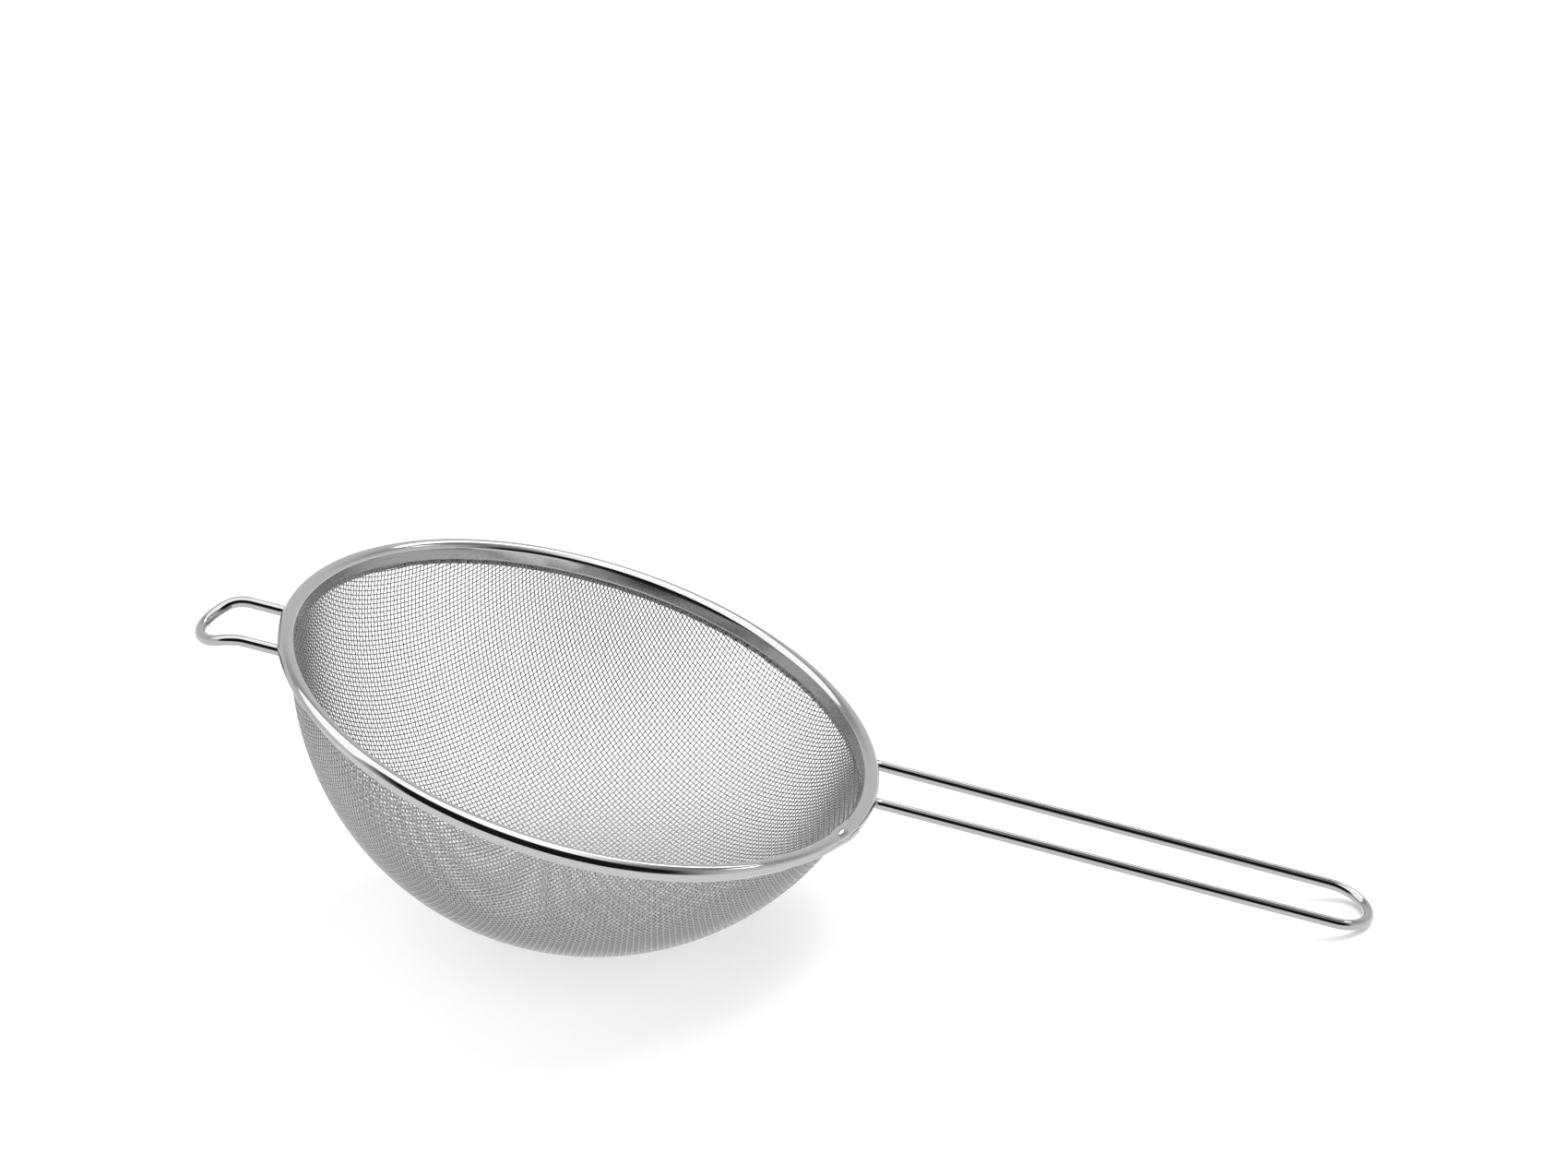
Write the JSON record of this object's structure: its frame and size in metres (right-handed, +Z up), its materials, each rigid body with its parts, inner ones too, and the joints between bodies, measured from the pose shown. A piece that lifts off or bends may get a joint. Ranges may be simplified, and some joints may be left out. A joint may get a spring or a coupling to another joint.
{
  "type": "tea strainer",
  "caption": "Round tea strainer: deep bowl of woven steel wire cloth in a rolled rim band, with a bent wire handle and a wire rest hook opposite it.",
  "frame": {"origin": "middle of the footprint's bounding box, on the surface that the strainer lies on", "axes": "+X towards the end of the handle, +Z up; the strainer lies tipped on the bottom of its bowl and the end of its handle"},
  "size_m": [0.1906, 0.1, 0.0546],
  "materials": {
    "wire_cloth": "woven bright stainless steel wire",
    "rolled_band": "rolled stainless steel strip, polished",
    "polished_wire": "polished stainless steel wire"
  },
  "bodies": {
    "root": {"cloth_bowl": "wire_cloth", "rim_band": "rolled_band", "ring_wire": "polished_wire", "handle_wire": "polished_wire", "rest_hook": "polished_wire"}
  },
  "joints": []
}
